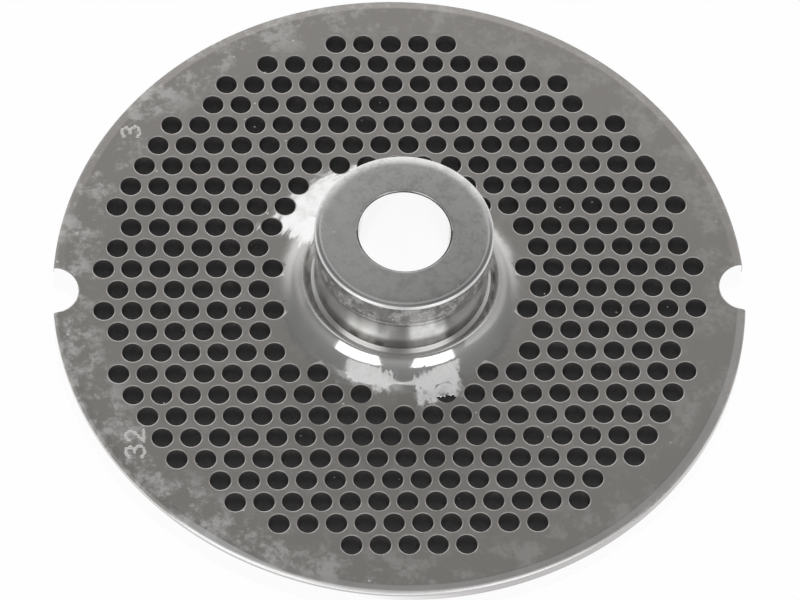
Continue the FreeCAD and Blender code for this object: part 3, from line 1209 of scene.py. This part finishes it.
is_hub = ramp(tree, parts["Z"], near(ROOT_TOP, 2.0, 5.0))
is_wall = ramp(tree, parts["Z"], near(HUB_TOP, -0.9, -0.5), 1.0, 0.0)
is_top = ramp(tree, parts["Z"], near(HUB_TOP, -0.3, -0.1))
on_collar = ramp(tree, parts["Z"], near(COLLAR_FOOT, -0.2, 0.3), NECK_CLOUDS, COLLAR_CLOUDS)
wall_film = times(tree, is_wall, maths(tree, "MULTIPLY_ADD", hub_film, on_collar, WALL_FILM))
top_film_and_light = times(tree, is_top, between(tree, hub_film, TOP_FILM, TOP_FILM_MOST))
# Kept to the left, the film is painted light that makes that side of the top paler.
top_film_and_light = times(tree, top_film_and_light, ramp(tree, parts["X"], LEFT_TOP))
film_and_painted_shading = times(tree, is_hub, most(tree, wall_film, top_film_and_light))
# The dulling also carries the painted light on the hub's top and the painted shade on the rim's round.
dull = most(tree, film_and_painted_shading, times(tree, stains, SMEAR_SHARE), rim_round_shade)
print("the face's material has", len(tree.nodes), "nodes so far")

# %% Link the face
SPECK = (0.95, 0.95, 0.94, 1)

base = mix_colours(tree, specks, steel, SPECK)
looks = {"Base Color": base, "Metallic": without(tree, dull), "Roughness": roughness, "Normal": normal}
feed(tree, shader, looks)
print("the face's material has", len(tree.nodes), "nodes")

# %% [markdown]
# ## Walls and edges
#
# The rim's side, the bore and the notches are fine turned or reamed, and almost white in the light from
# below. Close under the rim's round the side has painted shade: a thin dark line, and a grey tone to the
# right of the front, which stand in for the shading of a larger round. The holes are so narrow that hardly
# any light comes back out of them, so their walls and the bore's upper mouth are painted shade, a dull dark
# film whose darkness varies in soft clouds, with a few bright grains. The deburred edges and the peened dots
# are fresh bright metal. Each of these has a material of its own, because the drilling tool has already
# sorted the faces, and a mask would only find the same limits again.

# %% Bright walls
WALL_TINTS = ((0.97, 0.97, 0.97, 1), (1.0, 1.0, 1.0, 1))
WALL_SHADE = (0.36, 0.34, 0.34, 1)
UNDER_ROUND = FACE - RIM_BEVEL_DROP - RIM_ROUND - 0.12 * MM
ROUND_SHADE_LINE = (UNDER_ROUND, 0.12 * MM, 0.3 * MM, 0.75)
TONE_WAY = (0.8, -0.6)
TONE_RIGHT = (22.0 * MM, 40.0 * MM)
SHADE_TONE = 0.8

tree, shader, spot = start(finishes[BRIGHT])
parts = split(tree, spot)
rings = effect(tree, grain_tree, Vector=spot, Along=2500.0, Across=2500.0)
# Painted shade: a thin dark line under the rim's round, and a grey tone to the right of the front, where a
# larger round would be shaded.
line = line_at(tree, parts["Z"], *ROUND_SHADE_LINE)
to_right = ramp(tree, toward(tree, parts, *TONE_WAY), TONE_RIGHT, 0.0, SHADE_TONE)
upper = times(tree, ramp(tree, parts["Z"], near(UNDER_ROUND, -1.3, -1.1)), to_right)
on_side = ramp(tree, from_axis(tree, parts), near(RIM_RADIUS, -0.15, -0.05))
tint = mix_colours(tree, rings, *WALL_TINTS)
tint = mix_colours(tree, times(tree, most(tree, line, upper), on_side), tint, WALL_SHADE)
wall_roughness = ramp(tree, rings, (0.3, 0.7), 0.12, 0.2)
feed(tree, shader, {"Base Color": tint, "Metallic": 1.0, "Roughness": wall_roughness})
print(f"the dark line under the rim's round lies {UNDER_ROUND / MM:.2f} mm up")

# %% Drilled walls
# The dark colour of the hole walls is painted shade, varied in soft clouds.
DARK_SHADE_FILM = (0.068, 0.062, 0.061, 1)
THIN_SHADE_FILM = (0.125, 0.113, 0.110, 1)

tree, shader, spot = start(finishes[DRILLED])
residue = effect(tree, stain_tree, Vector=spot, Scale=300.0, Spread=0.6)
glints = effect(tree, speck_tree, Vector=spot, Scale=1100.0, Size=0.16, Share=0.018)
film_and_painted_shading = mix_colours(tree, residue, DARK_SHADE_FILM, THIN_SHADE_FILM)
base = mix_colours(tree, glints, film_and_painted_shading, SPECK)
feed(tree, shader, {"Base Color": base, "Metallic": glints, "Roughness": 0.6, "Specular IOR Level": 0.3})
print("the drilled walls' material has", len(tree.nodes), "nodes")

# %% Deburred edges and peened dots
FRESH_METAL = (
    (finishes[DEBURRED], ((0.66, 0.64, 0.62, 1), (0.84, 0.82, 0.80, 1)), 0.4),
    (peened, ((0.90, 0.89, 0.87, 1), (1.0, 0.99, 0.97, 1)), 0.5),
)
for material, colours, rough in FRESH_METAL:
    tree, shader, spot = start(material)
    patches = effect(tree, stain_tree, Vector=spot, Scale=400.0)
    base = mix_colours(tree, patches, *colours)
    feed(tree, shader, {"Base Color": base, "Metallic": 1.0, "Roughness": rough})
    print(material.name, "has a roughness of", rough)

# %% [markdown]
# ## Floor, sky and lamps
#
# Polished steel is a mirror, so the studio is part of the finish. A photograph of a room could stand
# round the plate, but this file stands alone, so the room is built from what the reflections show. The
# floor is white paper to the camera. In reflections its back part glows, and in front of the paper's
# edge it is dark. The sky is dim in front and pale low over the back, and the hub's walls and its root
# mirror both.
#
# Four soft panels stand in front, two low and two high, with a gap between left and right: they make
# the bright patches at the foot of the hub. One card stands on each side, one hangs overhead, and one
# lies low over the back, where the flat faces look.

# %% Floor
FLOOR_HALF = 3.0
FLOOR_GAP = 0.02 * MM
CORNERS = ((-1, -1), (1, -1), (1, 1), (-1, 1))

floor_mesh = bpy.data.meshes.new("studio_floor")
floor_mesh.from_pydata([(FLOOR_HALF * x, FLOOR_HALF * y, -FLOOR_GAP) for x, y in CORNERS], [], [(0, 1, 2, 3)])
floor = bpy.data.objects.new("studio_floor", floor_mesh)
bpy.context.scene.collection.objects.link(floor)
print("the floor is", 2 * FLOOR_HALF, "m across")

# %% Paper
PAPER_EDGE = (-0.3, -0.2)
BARE_FLOOR = (0.12, 0.12, 0.12, 1)
PAPER = (0.9, 0.9, 0.9, 1)
WHITE = (1, 1, 1, 1)
GLOW_SHARE = 0.98

paper = bpy.data.materials.new("white_paper")
paper.use_nodes = True
floor_mesh.materials.append(paper)
tree, shader, spot = start(paper)
is_paper = ramp(tree, split(tree, spot)["Y"], PAPER_EDGE)
ground = mix_colours(tree, is_paper, BARE_FLOOR, PAPER)
feed(tree, shader, {"Base Color": ground, "Roughness": 0.8, "Specular IOR Level": 0.2})
glow = place(tree, "ShaderNodeEmission", {"Color": WHITE, "Strength": 1.0})
rays = place(tree, "ShaderNodeLightPath").outputs
mirrored = times(tree, most(tree, rays["Is Glossy Ray"], rays["Is Transmission Ray"]), is_paper)
share = times(tree, most(tree, rays["Is Camera Ray"], mirrored), GLOW_SHARE)
mixed = place(tree, "ShaderNodeMixShader", {0: share, 1: shader.outputs[0], 2: glow.outputs[0]})
tree.links.new(mixed.outputs[0], tree.nodes["Material Output"].inputs["Surface"])
print("the paper's material has", len(tree.nodes), "nodes")

# %% Sky
# Each stop is a place from the horizon at 0 to straight up at 1, and the grey there.
FRONT_SKY = ((0.0, 0.17), (0.14, 0.3), (0.3, 0.36), (0.6, 0.26), (1.0, 0.2))
BACK_SKY = ((0.0, 1.05), (0.5, 1.0), (0.64, 0.78), (0.74, 0.45), (0.82, 0.24), (0.9, 0.19), (1.0, 0.2))
BACKWARD = (0.55, 1.0)


def grey_ramp(tree, value, stops):
    """Greys along a value, from pairs of position and grey."""
    node = place(tree, "ShaderNodeValToRGB", {0: value})
    elements = node.color_ramp.elements
    elements.remove(elements[1])
    elements[0].position = stops[0][0]
    elements[0].color = (stops[0][1],) * 3 + (1,)
    for position, grey in stops[1:]:
        elements.new(position).color = (grey, grey, grey, 1)
    return node.outputs[0]


world = bpy.data.worlds.new("studio")
bpy.context.scene.world = world
world.use_nodes = True
tree = world.node_tree
looking = split(tree, place(tree, "ShaderNodeTexCoord").outputs["Generated"])
level = unit(tree, join(tree, X=looking["X"], Y=looking["Y"]))
is_back = ramp(tree, split(tree, level)["Y"], BACKWARD)
greys = [grey_ramp(tree, looking["Z"], stops) for stops in (FRONT_SKY, BACK_SKY)]
sky = mix_colours(tree, is_back, *greys)
feed(tree, tree.nodes["Background"], {"Color": sky, "Strength": 1.0})
print("the sky has", len(FRONT_SKY), "greys in front and", len(BACK_SKY), "behind")

# %% Standing panels
# Each panel is an azimuth and an elevation in degrees, a distance, a width and a height in metres, and
# a brightness.
PANELS = {
    "front_left_low": (-40, 20, 0.8, 0.58, 0.42, 1.5),
    "front_right_low": (31, 20, 0.8, 0.52, 0.40, 1.5),
    "front_left_high": (-35, 60, 0.8, 0.32, 0.62, 0.5),
    "front_right_high": (46, 60, 0.8, 0.26, 0.62, 0.46),
    "right_card": (100, 12, 0.8, 1.2, 0.34, 0.2),
    "left_card": (-125, 10, 0.8, 0.5, 0.34, 0.15),
    "top_card": (-90, 83, 0.6, 0.26, 0.2, 0.2),
}


def add_lamp(name, width, height, brightness, matrix):
    """A rectangular area lamp. Its brightness is what a mirror would show of it."""
    lamp = bpy.data.lights.new(name, "AREA")
    lamp.shape = "RECTANGLE"
    lamp.size = width
    lamp.size_y = height
    lamp.energy = brightness * math.pi * width * height
    panel = bpy.data.objects.new(name, lamp)
    panel.matrix_world = matrix
    panel.visible_camera = False
    bpy.context.scene.collection.objects.link(panel)
    print(name, f"{lamp.energy:.2f} W")


for name, (azimuth, elevation, distance, width, height, brightness) in PANELS.items():
    away = direction(math.radians(azimuth), math.radians(elevation))
    facing = away.to_track_quat("Z", "Y").to_matrix().to_4x4()
    add_lamp(name, width, height, brightness, Matrix.Translation(away * distance) @ facing)

# %% The low card over the back
CARD_WIDTH, CARD_DEPTH = 0.6, 0.28
CARD_PLACE = (0, 0.33, 0.25)
CARD_BRIGHTNESS = 0.2

add_lamp("back_card", CARD_WIDTH, CARD_DEPTH, CARD_BRIGHTNESS, Matrix.Translation(CARD_PLACE))
bpy.context.scene.view_settings.view_transform = "Standard"

# %% [markdown]
# ## Hand the pieces over
#
# All three pieces ride on the plate's only body. The drilled plate stands for the frame's own node, and the
# numbers and the dried polish are added to it.

# %% Ride and replace
for piece in (plate, numbers, dried_polish):
    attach(piece, "root")
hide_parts("grinder_plate")
